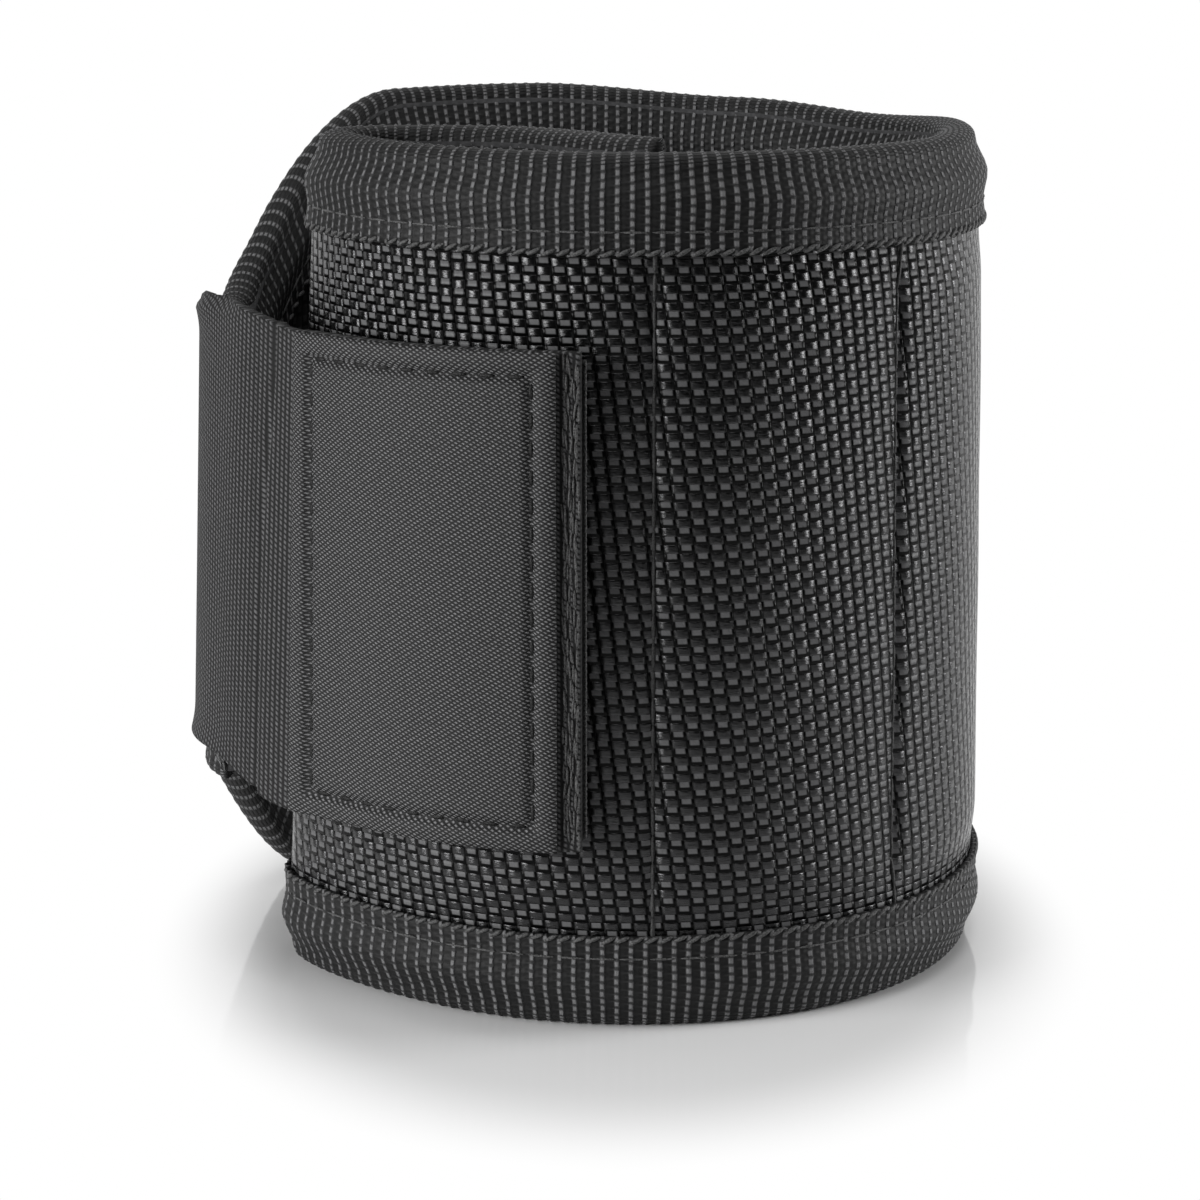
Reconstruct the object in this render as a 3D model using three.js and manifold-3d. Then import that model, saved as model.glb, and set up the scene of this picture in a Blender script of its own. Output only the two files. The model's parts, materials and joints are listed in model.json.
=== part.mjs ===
// A magnetic wristband for screws and bits, closed into a loop and standing on its lower edge.
// A sewn sandwich of outer shell, padding and lining holds fifteen magnets in stitched pockets, binding tape
// closes its edges, and an elastic strap with a hook-and-loop tab closes it. Millimetres, +Z up, front at -Y.
import * as THREE from "three";
import { mergeVertices } from "three/addons/utils/BufferGeometryUtils.js";
import Module from "manifold-3d";

const wasm = await Module();
wasm.setup();
const { degToRad } = THREE.MathUtils;

// Band
const BAND_HEIGHT = 90;
const LOOP_RADIUS = 35.3; // of the middle of the padding, round the front, right and back of the loop
const SHELL_THICKNESS = 0.8;
const PADDING_THICKNESS = 2.6;
const LINING_THICKNESS = 0.8;
const LAYER_GAP = 0.2; // between one layer of cloth and the next
const JOINT_GAP = 0.4; // where the cloth is parted at a fold line
const ROUND_TOLERANCE = 0.12; // a curved wall's facets leave the true curve by no more than this
const LEAST_FACET = 0.8;

// Curled inner end, past the left of the loop
const CURL_FROM_ANGLE = -64; // round the loop, with 0 at the front and 90 at the right
const CURL_FOLD_ANGLE = -50;
const CURL_RADIUS = 6;
const CURL_TURN = 115;
const TAIL_RADIUS = 22;
const TAIL_TURN = 50; // at most, where the tail has room for it
const TAIL_CLEARANCE = 1.4; // at least, from the free edge to the inside of the loop
const FREE_EDGE_REACH = 89; // along the cloth from the middle of the front

// Tapered outer end, from the back of the loop to the strap
const BACK_STRAIGHT = 5.3;
const BACK_RADIUS = 38;
const BACK_TURN = 95;
const TIP_RADIUS = 18;
const TIP_TURN = 25;
const UPPER_TAPER = { length: 35, flat: 13 }; // flat is the stretch of strap width at the very tip
const LOWER_TAPER = { length: 25, flat: 10 };
const TAPER_STEPS = 12; // straight stretches that each tapered edge is cut into

// Binding tape, folded over every edge
const BINDING_THICKNESS = 0.8;
const BINDING_DEPTH = 10;
const BINDING_ROUND = 1.4;

// Magnet pockets, between upright seams
const POCKET_COUNT = 5;
const POCKET_ANGLE = 43;
const FIRST_SEAM_ANGLE = -39.8;
const POCKET_CROWN = 0.6; // how far a filled pocket stands out between its seams
const CROWN_EDGE = 4; // from the binding to the full crown
const FRONT_POCKET_COUNT = 3; // before the seam at the loop's right, where the band folds open
const MAGNET_ROWS = ["top", "middle", "bottom"];
const MAGNET_WIDTH = 12;
const MAGNET_HEIGHT = 20;
const MAGNET_THICKNESS = 2;
const MAGNET_ROW_PITCH = 22.5;
const MAGNET_CLEARANCE = 0.3;

// Strap and closing tab
const STRAP_WIDTH = 50;
const WEBBING_THICKNESS = 1.2;
const ANCHOR_LENGTH = 14; // of webbing sewn to the tip
const TAB_END_ANGLE = -7;
const TAB_LIFT_ANGLE = -42; // left of this the tab leaves the loop
const TAB_FREE_LENGTH = 8;
const HOOK_THICKNESS = 1;
const LOOP_PATCH_THICKNESS = 1;
const LABEL_THICKNESS = 0.6;
const LABEL_END_MARGIN = 2.2; // the label stops short of the tab's end
const HOOK_INSET = 1;
const LOOP_PATCH_BEYOND_TAB = 0.8;

// Offsets of each layer from the middle of the padding, outwards
const PADDING_FACE = PADDING_THICKNESS / 2;
const SHELL_IN = PADDING_FACE + LAYER_GAP;
const SHELL_OUT = SHELL_IN + SHELL_THICKNESS;
const LINING_OUT = -(PADDING_FACE + LAYER_GAP);
const LINING_IN = LINING_OUT - LINING_THICKNESS;
const TAPE_OUTER = { from: SHELL_OUT + LAYER_GAP, to: SHELL_OUT + LAYER_GAP + BINDING_THICKNESS };
const TAPE_INNER = { from: LINING_IN - LAYER_GAP, to: LINING_IN - LAYER_GAP - BINDING_THICKNESS };
const LOOP_PATCH_IN = SHELL_OUT + POCKET_CROWN + LAYER_GAP;
const HOOK_IN = LOOP_PATCH_IN + LOOP_PATCH_THICKNESS + LAYER_GAP;
const TAB_IN = HOOK_IN + HOOK_THICKNESS + LAYER_GAP;
const TAB_MIDDLE = TAB_IN + WEBBING_THICKNESS / 2;
const TAB_OUT = TAB_IN + WEBBING_THICKNESS;
const ANCHOR_IN = SHELL_OUT + LAYER_GAP;
const ANCHOR_MIDDLE = ANCHOR_IN + WEBBING_THICKNESS / 2;

const MIDDLE_HEIGHT = BAND_HEIGHT / 2;
const EDGE_INSET = BINDING_THICKNESS + LAYER_GAP; // the cloth's edges stop inside the folded tape

// Routes seen from above. A route is walked from its start, ahead or back, along legs that bend left.
const arc = (radius, degrees) => ({ radius, length: radius * degToRad(degrees) });
const straight = (length) => ({ radius: Infinity, length });

function walk({ x, y, heading }, distance, radius) {
  if (radius === Infinity) {
    return { x: x + distance * Math.cos(heading), y: y + distance * Math.sin(heading), heading };
  }
  const end = heading + distance / radius;
  return {
    x: x + radius * (Math.sin(end) - Math.sin(heading)),
    y: y - radius * (Math.cos(end) - Math.cos(heading)),
    heading: end,
  };
}

class Route {
  constructor(start, ahead, back) {
    Object.assign(this, { start, ahead, back });
    this.last = ahead.reduce((sum, leg) => sum + leg.length, 0);
    this.first = -back.reduce((sum, leg) => sum + leg.length, 0);
  }

  pose(s) {
    const sign = Math.sign(s);
    let pose = this.start;
    let left = Math.abs(s);
    for (const { length, radius } of s < 0 ? this.back : this.ahead) {
      const step = Math.min(left, length);
      pose = walk(pose, sign * step, radius);
      left -= step;
    }
    return pose;
  }

  // The point at a distance along the route, an offset to its right and a height.
  point(s, offset, z) {
    const { x, y, heading } = this.pose(s);
    return new THREE.Vector3(x + offset * Math.sin(heading), y - offset * Math.cos(heading), z);
  }

  // The ends of its legs and even steps on its arcs, where a wall along it is cut into facets.
  facets() {
    const found = [];
    for (const [legs, sign] of [[this.ahead, 1], [this.back, -1]]) {
      let passed = 0;
      for (const { length, radius } of legs) {
        const facet = 2 * radius * Math.acos(1 - ROUND_TOLERANCE / radius);
        const count = radius === Infinity ? 1 : Math.ceil(length / facet);
        for (let i = 0; i <= count; i += 1) found.push(sign * (passed + (length * i) / count));
        passed += length;
      }
    }
    return found;
  }

  // The facets of one stretch, with its own ends, any marks given, and others where those leave room.
  stations(from, to, marks = [], others = []) {
    const kept = [from, to, ...marks.filter((s) => s > from && s < to)];
    for (const s of [...others, ...this.facets()]) {
      if (s > from && s < to && kept.every((other) => Math.abs(s - other) > LEAST_FACET)) kept.push(s);
    }
    return kept.sort((a, b) => a - b);
  }
}

const loopAngle = (degrees) => LOOP_RADIUS * degToRad(degrees);

function bandWithTail(turn) {
  const toTip = [straight(BACK_STRAIGHT), arc(BACK_RADIUS, BACK_TURN), arc(TIP_RADIUS, TIP_TURN)];
  const toTail = [arc(LOOP_RADIUS, -CURL_FROM_ANGLE), arc(CURL_RADIUS, CURL_TURN), arc(TAIL_RADIUS, turn)];
  const curled = toTail.reduce((sum, leg) => sum + leg.length, 0);
  return new Route(
    { x: 0, y: -LOOP_RADIUS, heading: 0 },
    [arc(LOOP_RADIUS, 180), ...toTip],
    [...toTail, straight(FREE_EDGE_REACH - curled)],
  );
}

// A longer tail springs further open, so that its free edge stays clear of the inside of the loop.
const roomForTail = LOOP_RADIUS + TAPE_INNER.to - TAIL_CLEARANCE;
let tailTurn = TAIL_TURN;
let band = bandWithTail(tailTurn);
while (tailTurn > 0 && band.point(band.first, TAPE_INNER.to, 0).length() > roomForTail) {
  tailTurn -= 1;
  band = bandWithTail(tailTurn);
}

// The webbing of the tab lies round the front of the loop, then runs straight on towards the tip.
const TAB_RADIUS = LOOP_RADIUS + TAB_MIDDLE;
const lift = degToRad(TAB_LIFT_ANGLE);
const tab = new Route(
  { x: TAB_RADIUS * Math.sin(lift), y: -TAB_RADIUS * Math.cos(lift), heading: lift },
  [arc(TAB_RADIUS, TAB_END_ANGLE - TAB_LIFT_ANGLE)],
  [straight(TAB_FREE_LENGTH)],
);

// The free webbing between the tip and the tab leaves both in line.
class FreeWebbing {
  constructor(from, to) {
    const reach = Math.hypot(to.x - from.x, to.y - from.y) / 3;
    const ahead = walk(from, reach, Infinity);
    const behind = walk(to, -reach, Infinity);
    const flat = ({ x, y }) => new THREE.Vector2(x, y);
    this.curve = new THREE.CubicBezierCurve(flat(from), flat(ahead), flat(behind), flat(to));
    this.last = this.curve.getLength();
  }

  point(s, offset, z) {
    const { x, y } = this.curve.getPointAt(s / this.last);
    const way = this.curve.getTangentAt(s / this.last);
    return new THREE.Vector3(x + offset * way.y, y - offset * way.x, z);
  }
}

// A closed solid through rings of points, with flat ends filled as the outline of the section is.
function loft(rings, outline) {
  const size = outline.length;
  const positions = rings.flatMap((ring) => ring.flatMap((point) => point.toArray()));
  const faces = [];
  for (let i = 0; i + 1 < rings.length; i += 1) {
    for (let j = 0; j < size; j += 1) {
      const [a, b] = [i * size + j, i * size + ((j + 1) % size)];
      faces.push(a, a + size, b + size, a, b + size, b);
    }
  }
  const end = (rings.length - 1) * size;
  const filled = THREE.ShapeUtils.triangulateShape(outline.map(([x, y]) => new THREE.Vector2(x, y)), []);
  for (const [a, b, c] of filled) faces.push(a, b, c, end + a, end + c, end + b);
  const geometry = new THREE.BufferGeometry();
  geometry.setAttribute("position", new THREE.Float32BufferAttribute(positions, 3));
  geometry.setIndex(faces);
  return geometry;
}

// A section of offsets and heights carried along a route.
function sweep(route, stations, section) {
  const rings = stations.map((s) => section(s).map(([t, z]) => route.point(s, t, z)));
  return loft(rings, section(stations[0]));
}

const slab = (from, to, low, high) => [[from, low], [to, low], [to, high], [from, high]];

function toSolid(geometry) {
  const bare = geometry.clone();
  bare.deleteAttribute("normal");
  bare.deleteAttribute("uv");
  const merged = mergeVertices(bare);
  const vertProperties = merged.getAttribute("position").array;
  const triVerts = new Uint32Array(merged.index.array);
  return new wasm.Manifold(new wasm.Mesh({ numProp: 3, vertProperties, triVerts }));
}

function fromSolid(solid) {
  const { vertProperties, triVerts } = solid.getMesh();
  const geometry = new THREE.BufferGeometry();
  geometry.setAttribute("position", new THREE.Float32BufferAttribute(vertProperties, 3));
  geometry.setIndex([...triVerts]);
  return geometry;
}

// Materials
const textile = (color, roughness) => new THREE.MeshStandardMaterial({ color, roughness, metalness: 0 });
const ballisticNylon = textile(0x242425, 0.55);
const foam = textile(0x3a3a3c, 0.95);
const meshLining = textile(0x1d1d1f, 0.85);
const bindingTape = textile(0x2b2b2c, 0.7);
const elasticWebbing = textile(0x303031, 0.8);
const loopPile = textile(0x1a1a1b, 0.95);
const hookTape = textile(0x202021, 0.6);
const labelTwill = textile(0x343435, 0.75);
const nickelPlate = new THREE.MeshStandardMaterial({ color: 0xb8b8ba, roughness: 0.3, metalness: 1 });

const wristband = new THREE.Group();

function add(name, geometry, material) {
  const mesh = new THREE.Mesh(geometry, material);
  mesh.name = name;
  wristband.add(mesh);
  return mesh;
}

// Along the band: its free edge, fold lines, seams, and the taper at its other end
const seams = [];
for (let i = 0; i <= POCKET_COUNT; i += 1) seams.push(loopAngle(FIRST_SEAM_ANGLE + POCKET_ANGLE * i));
const freeEdge = band.first;
const curlFold = loopAngle(CURL_FOLD_ANGLE);
const openFold = seams[FRONT_POCKET_COUNT];
const tipEnd = band.last;
const anchorStart = tipEnd - ANCHOR_LENGTH;
const taperMarks = [UPPER_TAPER, LOWER_TAPER].flatMap(({ length, flat }) =>
  Array.from({ length: TAPER_STEPS + 1 }, (_, i) => tipEnd - flat - (length * i) / TAPER_STEPS),
);

// How far the band reaches above or below its middle height at a place along it.
function reach(s, { length, flat }) {
  const share = THREE.MathUtils.smoothstep(s, tipEnd - flat - length, tipEnd - flat);
  return THREE.MathUtils.lerp(BAND_HEIGHT, STRAP_WIDTH, share) / 2;
}

const upperRim = (s, inset = 0) => MIDDLE_HEIGHT + reach(s, UPPER_TAPER) - inset;
const lowerRim = (s, inset = 0) => MIDDLE_HEIGHT - reach(s, LOWER_TAPER) + inset;

function crown(s) {
  const after = seams.findIndex((seam) => seam > s);
  if (after < 1) return 0;
  const share = (s - seams[after - 1]) / (seams[after] - seams[after - 1]);
  return POCKET_CROWN * Math.sin(Math.PI * share);
}

// Sections of the band's layers
function shellSection(s) {
  const out = SHELL_OUT + crown(s);
  const flap = BINDING_DEPTH + LAYER_GAP;
  const rise = [[SHELL_IN, EDGE_INSET], [SHELL_OUT, EDGE_INSET], [SHELL_OUT, flap], [out, flap + CROWN_EDGE]];
  const lower = rise.map(([t, inset]) => [t, lowerRim(s, inset)]);
  const upper = rise.map(([t, inset]) => [t, upperRim(s, inset)]);
  return [...lower, ...upper.reverse()];
}

const layerSection = (from, to) => (s) => slab(from, to, lowerRim(s, EDGE_INSET), upperRim(s, EDGE_INSET));

// Folded tape over an edge, offsets and depths from the rim: two flaps joined by a web with rounded corners.
const corner = BINDING_ROUND * (1 - Math.SQRT1_2);
const foldedTape = [
  [TAPE_OUTER.from, BINDING_DEPTH],
  [TAPE_OUTER.from, BINDING_THICKNESS],
  [TAPE_INNER.from, BINDING_THICKNESS],
  [TAPE_INNER.from, BINDING_DEPTH],
  [TAPE_INNER.to, BINDING_DEPTH],
  [TAPE_INNER.to, BINDING_ROUND],
  [TAPE_INNER.to + corner, corner],
  [TAPE_INNER.to + BINDING_ROUND, 0],
  [TAPE_OUTER.to - BINDING_ROUND, 0],
  [TAPE_OUTER.to - corner, corner],
  [TAPE_OUTER.to, BINDING_ROUND],
  [TAPE_OUTER.to, BINDING_DEPTH],
];

const topTape = (s) => foldedTape.map(([t, depth]) => [t, upperRim(s, depth)]).reverse();
const bottomTape = (s) => foldedTape.map(([t, depth]) => [t, lowerRim(s, depth)]);

// The band, parted at its two fold lines
const edgeInside = freeEdge + EDGE_INSET;
const fold = JOINT_GAP / 2;
const stretches = [
  { name: "tail", cloth: [edgeInside, curlFold - fold], tape: [freeEdge, curlFold - fold] },
  { name: "front", cloth: [curlFold + fold, openFold - fold], tape: [curlFold + fold, openFold - fold] },
  { name: "back", cloth: [openFold + fold, tipEnd], tape: [openFold + fold, anchorStart - LAYER_GAP] },
];

// Upright magnets in windows of the padding, set in towards the hollow side of the curve
const pocketMiddles = seams.slice(1).map((seam, i) => (seams[i] + seam) / 2);
const bulge = LOOP_RADIUS - Math.sqrt(LOOP_RADIUS ** 2 - (MAGNET_WIDTH / 2) ** 2);
const magnets = pocketMiddles.flatMap((s, column) =>
  MAGNET_ROWS.map((row, i) => ({
    name: `magnet_${column + 1}_${row}`,
    s,
    height: MIDDLE_HEIGHT + (1 - i) * MAGNET_ROW_PITCH,
  })),
);

function standIn(mesh, { s, height }, offset) {
  mesh.position.copy(band.point(s, offset, height));
  mesh.rotation.z = band.pose(s).heading;
  mesh.updateMatrix();
  return mesh;
}

function windowAt(magnet) {
  const size = [MAGNET_WIDTH + 2 * MAGNET_CLEARANCE, LOOP_RADIUS, MAGNET_HEIGHT + 2 * MAGNET_CLEARANCE];
  const cutter = standIn(new THREE.Mesh(new THREE.BoxGeometry(...size)), magnet, 0);
  return toSolid(cutter.geometry.applyMatrix4(cutter.matrix));
}

for (const { name, cloth: [from, to], tape } of stretches) {
  const along = band.stations(from, to, [...seams, ...tape], taperMarks);
  add(`outer_shell_${name}`, sweep(band, along, shellSection), ballisticNylon);
  add(`lining_${name}`, sweep(band, along, layerSection(LINING_IN, LINING_OUT)), meshLining);
  const windows = magnets.filter(({ s }) => s > from && s < to).map(windowAt);
  const sheet = toSolid(sweep(band, along, layerSection(-PADDING_FACE, PADDING_FACE)));
  add(`padding_${name}`, fromSolid(windows.reduce((left, window) => left.subtract(window), sheet)), foam);
  const edge = band.stations(...tape, [...seams, from, to], taperMarks);
  add(`top_binding_${name}`, sweep(band, edge, topTape), bindingTape);
  add(`bottom_binding_${name}`, sweep(band, edge, bottomTape), bindingTape);
}

for (const magnet of magnets) {
  const block = new THREE.BoxGeometry(MAGNET_WIDTH, MAGNET_THICKNESS, MAGNET_HEIGHT);
  standIn(add(magnet.name, block, nickelPlate), magnet, -bulge / 2);
}

// Tape over the free upright edge, between the tapes of the long edges
const endTapeEnds = [upperRim, lowerRim].map((rim) => rim(freeEdge, BINDING_DEPTH + LAYER_GAP));
const endTape = endTapeEnds.map((z) => foldedTape.map(([t, depth]) => band.point(freeEdge + depth, t, z)));
add("end_binding", loft(endTape, foldedTape), bindingTape);

// Strap: webbing sewn on the tip, free elastic webbing, and the stiff closing tab
const strapLow = MIDDLE_HEIGHT - STRAP_WIDTH / 2;
const strapHigh = MIDDLE_HEIGHT + STRAP_WIDTH / 2;
const strip = (from, to, inset = 0) => () => slab(from, to, strapLow + inset, strapHigh - inset);
const webbingHalf = WEBBING_THICKNESS / 2;

const anchored = band.stations(anchorStart, tipEnd);
add("strap_anchor", sweep(band, anchored, strip(ANCHOR_IN, ANCHOR_IN + WEBBING_THICKNESS)), elasticWebbing);

const tipOutside = band.point(tipEnd, ANCHOR_MIDDLE, 0);
const leaving = { x: tipOutside.x, y: tipOutside.y, heading: band.pose(tipEnd).heading };
const link = new FreeWebbing(leaving, tab.pose(tab.first));
const LINK_STEPS = 8;
const linked = Array.from({ length: LINK_STEPS + 1 }, (_, i) =>
  THREE.MathUtils.lerp(JOINT_GAP, link.last - JOINT_GAP, i / LINK_STEPS),
);
add("strap_elastic", sweep(link, linked, strip(-webbingHalf, webbingHalf)), elasticWebbing);

const fromTab = (offset) => offset - TAB_MIDDLE;
const tabbed = tab.stations(tab.first, tab.last);
add("tab_webbing", sweep(tab, tabbed, strip(-webbingHalf, webbingHalf)), elasticWebbing);

const labelled = tab.stations(tab.first, tab.last - LABEL_END_MARGIN);
const labelIn = fromTab(TAB_OUT) + LAYER_GAP;
add("label_patch", sweep(tab, labelled, strip(labelIn, labelIn + LABEL_THICKNESS)), labelTwill);

const hooked = tab.stations(0, tab.last - HOOK_INSET);
const hookIn = fromTab(HOOK_IN);
add("hook_patch", sweep(tab, hooked, strip(hookIn, hookIn + HOOK_THICKNESS, HOOK_INSET)), hookTape);

// Loop pile sewn on the shell under the tab
const patched = band.stations(loopAngle(TAB_LIFT_ANGLE), loopAngle(TAB_END_ANGLE) + LOOP_PATCH_BEYOND_TAB);
const patchOut = LOOP_PATCH_IN + LOOP_PATCH_THICKNESS;
add("loop_patch", sweep(band, patched, strip(LOOP_PATCH_IN, patchOut)), loopPile);

// The frame's origin is the middle of the footprint, on the floor.
const footprint = new THREE.Box3().setFromObject(wristband).getCenter(new THREE.Vector3());
wristband.position.set(-footprint.x, -footprint.y, 0);

export default wristband;
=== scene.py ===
import json
import math

import bmesh
import bpy
from mathutils import Matrix, Vector, noise
from mathutils.geometry import interpolate_bezier


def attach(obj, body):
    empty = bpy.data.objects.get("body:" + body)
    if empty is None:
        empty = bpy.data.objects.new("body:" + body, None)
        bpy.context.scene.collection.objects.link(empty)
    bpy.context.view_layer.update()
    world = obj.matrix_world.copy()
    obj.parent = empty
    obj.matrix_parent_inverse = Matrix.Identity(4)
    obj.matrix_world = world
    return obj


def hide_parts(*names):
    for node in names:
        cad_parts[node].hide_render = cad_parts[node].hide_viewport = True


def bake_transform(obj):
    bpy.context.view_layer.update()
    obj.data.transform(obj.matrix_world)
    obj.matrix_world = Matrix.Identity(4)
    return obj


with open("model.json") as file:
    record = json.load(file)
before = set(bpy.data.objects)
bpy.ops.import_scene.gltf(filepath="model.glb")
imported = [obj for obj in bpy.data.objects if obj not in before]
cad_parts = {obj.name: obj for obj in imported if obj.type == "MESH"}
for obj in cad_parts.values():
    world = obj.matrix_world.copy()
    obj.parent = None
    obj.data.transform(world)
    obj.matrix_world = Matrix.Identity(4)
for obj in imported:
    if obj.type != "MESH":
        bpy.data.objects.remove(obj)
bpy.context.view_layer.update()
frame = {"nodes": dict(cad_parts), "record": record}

# Padding: a die-cut sheet of closed-cell foam that gives the band its body, with a window for each magnet.
# It lies between shell and lining, follows the loop, and its curled end and its tip bend with the cloth.
# The loop's centre is behind the mount that the band stands on. s is the way along the cloth from there.
BAND_HEIGHT = 0.090
LOOP_RADIUS = 0.0353
EDGE_INSET = 0.001
PADDING_FACE = 0.0013
FREE_EDGE = -0.089
CURL_END = -0.0515
FOLD_SIDE = -0.0245
standing = Vector(frame["record"]["mounts"][0]["pos_m"])
LOOP_CENTRE = standing + Vector((0, LOOP_RADIUS, 0))
STRAIGHT = None
LEGS_AHEAD = [
    (LOOP_RADIUS, LOOP_RADIUS * math.radians(180)),
    (STRAIGHT, 0.0053),
    (0.038, 0.038 * math.radians(95)),
    (0.018, 0.018 * math.radians(25)),
]
LEGS_BACK = [
    (LOOP_RADIUS, LOOP_RADIUS * math.radians(64)),
    (0.006, 0.006 * math.radians(115)),
    (0.022, 0.022 * math.radians(50)),
    (STRAIGHT, 0.0184),
]
TIP_END = sum(length for radius, length in LEGS_AHEAD)
UPPER_TAPER = (0.035, 0.013)
LOWER_TAPER = (0.025, 0.010)
STRAP_WIDTH = 0.050


def smooth(low, high, value):
    share = min(1.0, max(0.0, (value - low) / (high - low)))
    return share * share * (3 - 2 * share)


def lerp(a, b, share):
    return a + (b - a) * share


def eased(stops, value):
    for (a, first), (b, second) in zip(stops, stops[1:]):
        if value <= b:
            return lerp(first, second, smooth(a, b, value))
    return stops[-1][1]


def walk(place, distance, radius):
    x, y, heading = place
    if radius is STRAIGHT:
        return x + distance * math.cos(heading), y + distance * math.sin(heading), heading
    end = heading + distance / radius
    x += radius * (math.sin(end) - math.sin(heading))
    y -= radius * (math.cos(end) - math.cos(heading))
    return x, y, end


def along_band(s):
    place = (LOOP_CENTRE.x, LOOP_CENTRE.y - LOOP_RADIUS, 0.0)
    left = abs(s)
    for radius, length in LEGS_AHEAD if s > 0 else LEGS_BACK:
        step = min(left, length)
        place = walk(place, math.copysign(step, s), radius)
        left -= step
    return place


def reach(s, taper):
    length, flat = taper
    share = smooth(TIP_END - flat - length, TIP_END - flat, s)
    return lerp(BAND_HEIGHT, STRAP_WIDTH, share) / 2


def upper_rim(s):
    return BAND_HEIGHT / 2 + reach(s, UPPER_TAPER)


def lower_rim(s):
    return BAND_HEIGHT / 2 - reach(s, LOWER_TAPER)


# The upper edge has settled unevenly, and the curled side leans: out at its foot and in at its top.
RIM_SAG = [
    (FREE_EDGE, -0.0006),
    (-0.045, -0.0009),
    (0.0, -0.0014),
    (0.035, -0.0015),
    (0.058, -0.0010),
    (0.078, -0.0017),
    (0.098, -0.0006),
    (0.122, 0.0009),
    (0.150, 0.0005),
    (TIP_END, 0.0),
]
CURL_LEAN = [(FREE_EDGE, 0.2), (-0.060, 0.8), (-0.045, 1.0), (-0.020, 0.0)]
LEAN_FOOT = 0.0026
LEAN_TOP = 0.0021
SIDE_FOOT = 0.0006
SIDE_TOP = -0.0004
TIP_FOOT = 0.0010
TIP_TOP = -0.0013
FOOT_FLARE = 0.0020
RIM_FLARE = 0.0014


def tip_lean(s, z):
    foot = (BAND_HEIGHT - STRAP_WIDTH) / 2
    flare = FOOT_FLARE * (1 - smooth(0.016, 0.027, z)) * smooth(TIP_END - 0.05, TIP_END - 0.015, s)
    rim = smooth(TIP_END - 0.026, TIP_END - 0.014, s) * (1 - smooth(TIP_END - 0.006, TIP_END, s))
    flare += RIM_FLARE * smooth(0.067, 0.075, z) * rim
    lean = lerp(TIP_FOOT, TIP_TOP, (z - foot) / STRAP_WIDTH)
    return flare + lean * smooth(TIP_END - 0.03, TIP_END, s)


def band_point(s, offset, z):
    x, y, heading = along_band(s)
    share = z / BAND_HEIGHT
    lean = lerp(LEAN_FOOT, -LEAN_TOP, share) * eased(CURL_LEAN, s)
    flare = lerp(SIDE_FOOT, SIDE_TOP, share) * smooth(0.0, 0.03, s) * (1 - smooth(0.08, 0.11, s))
    offset += flare + tip_lean(s, z)
    x += offset * math.sin(heading) - lean
    y -= offset * math.cos(heading)
    return Vector((x, y, z + eased(RIM_SAG, s) * share * share))


GATHER_SHARE = 0.7
GATHER_WIDTH = 0.003


def drawn_in(s, seam):
    return GATHER_SHARE * (s - seam) * math.exp(-(((s - seam) / GATHER_WIDTH) ** 2))


def flat_cloth(start, end, low, high, step, gathers=()):
    """A grid of cloth laid flat, its columns closer together at each place in gathers."""
    columns = max(2, round((end - start) / step))
    rows = max(2, round((high(start) - low(start)) / step))
    cut = bmesh.new()
    flat = cut.loops.layers.uv.new("flat")
    bmesh.ops.create_grid(cut, x_segments=columns, y_segments=rows, size=0.5)
    for vert in cut.verts:
        s = lerp(start, end, vert.co.x + 0.5)
        s -= sum(drawn_in(s, seam) for seam in gathers)
        vert.co = (s, lerp(low(s), high(s), vert.co.y + 0.5), 0)
    for face in cut.faces:
        for corner in face.loops:
            corner[flat].uv = corner.vert.co.xy
    return cut


def rolled(cut, offset):
    for vert in cut.verts:
        s, z, lift = vert.co
        vert.co = band_point(s, offset(s, z) + lift, z)
    return cut


def sewn_piece(name, cut, material, thickness=0.0):
    mesh = bpy.data.meshes.new(name)
    cut.to_mesh(mesh)
    cut.free()
    mesh.shade_smooth()
    piece = bpy.data.objects.new(name, mesh)
    bpy.context.scene.collection.objects.link(piece)
    mesh.materials.append(material)
    if thickness:
        wall = piece.modifiers.new("thickness", "SOLIDIFY")
        wall.thickness = thickness
        wall.offset = -1
    return piece


# The cloth is parted where a fold line needs it: the tail, the curl, and the long way round.
STRETCHES = {
    "tail": (FREE_EDGE + EDGE_INSET, CURL_END),
    "curl": (CURL_END, FOLD_SIDE),
    "round": (FOLD_SIDE, TIP_END),
}
CAD_PARTS = {"tail": ["tail"], "curl": ["tail"], "round": ["front", "back"]}
HINGE_SEAM = LOOP_RADIUS * math.radians(89.2)
CURL_FOLD = LOOP_RADIUS * math.radians(-50)


def follow(piece, stretch):
    if stretch == "tail":
        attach(piece, "tail")
    if stretch == "curl":
        x, y, heading = along_band(CURL_FOLD)
        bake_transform(piece)
    if stretch == "round":
        x, y, heading = along_band(HINGE_SEAM)
        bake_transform(piece)


def inset_low(s):
    return lower_rim(s) + EDGE_INSET


def inset_high(s):
    return upper_rim(s) - EDGE_INSET


SQUEEZED = 0.3
SQUEEZE_DEPTH = 0.005


def squeeze(s, z):
    """The tape draws all layers together towards the upper, the lower and the free edge."""
    depth = min(upper_rim(s) - z, z - lower_rim(s), s - FREE_EDGE)
    return lerp(SQUEEZED, 1.0, smooth(0.0, SQUEEZE_DEPTH, depth))


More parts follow.
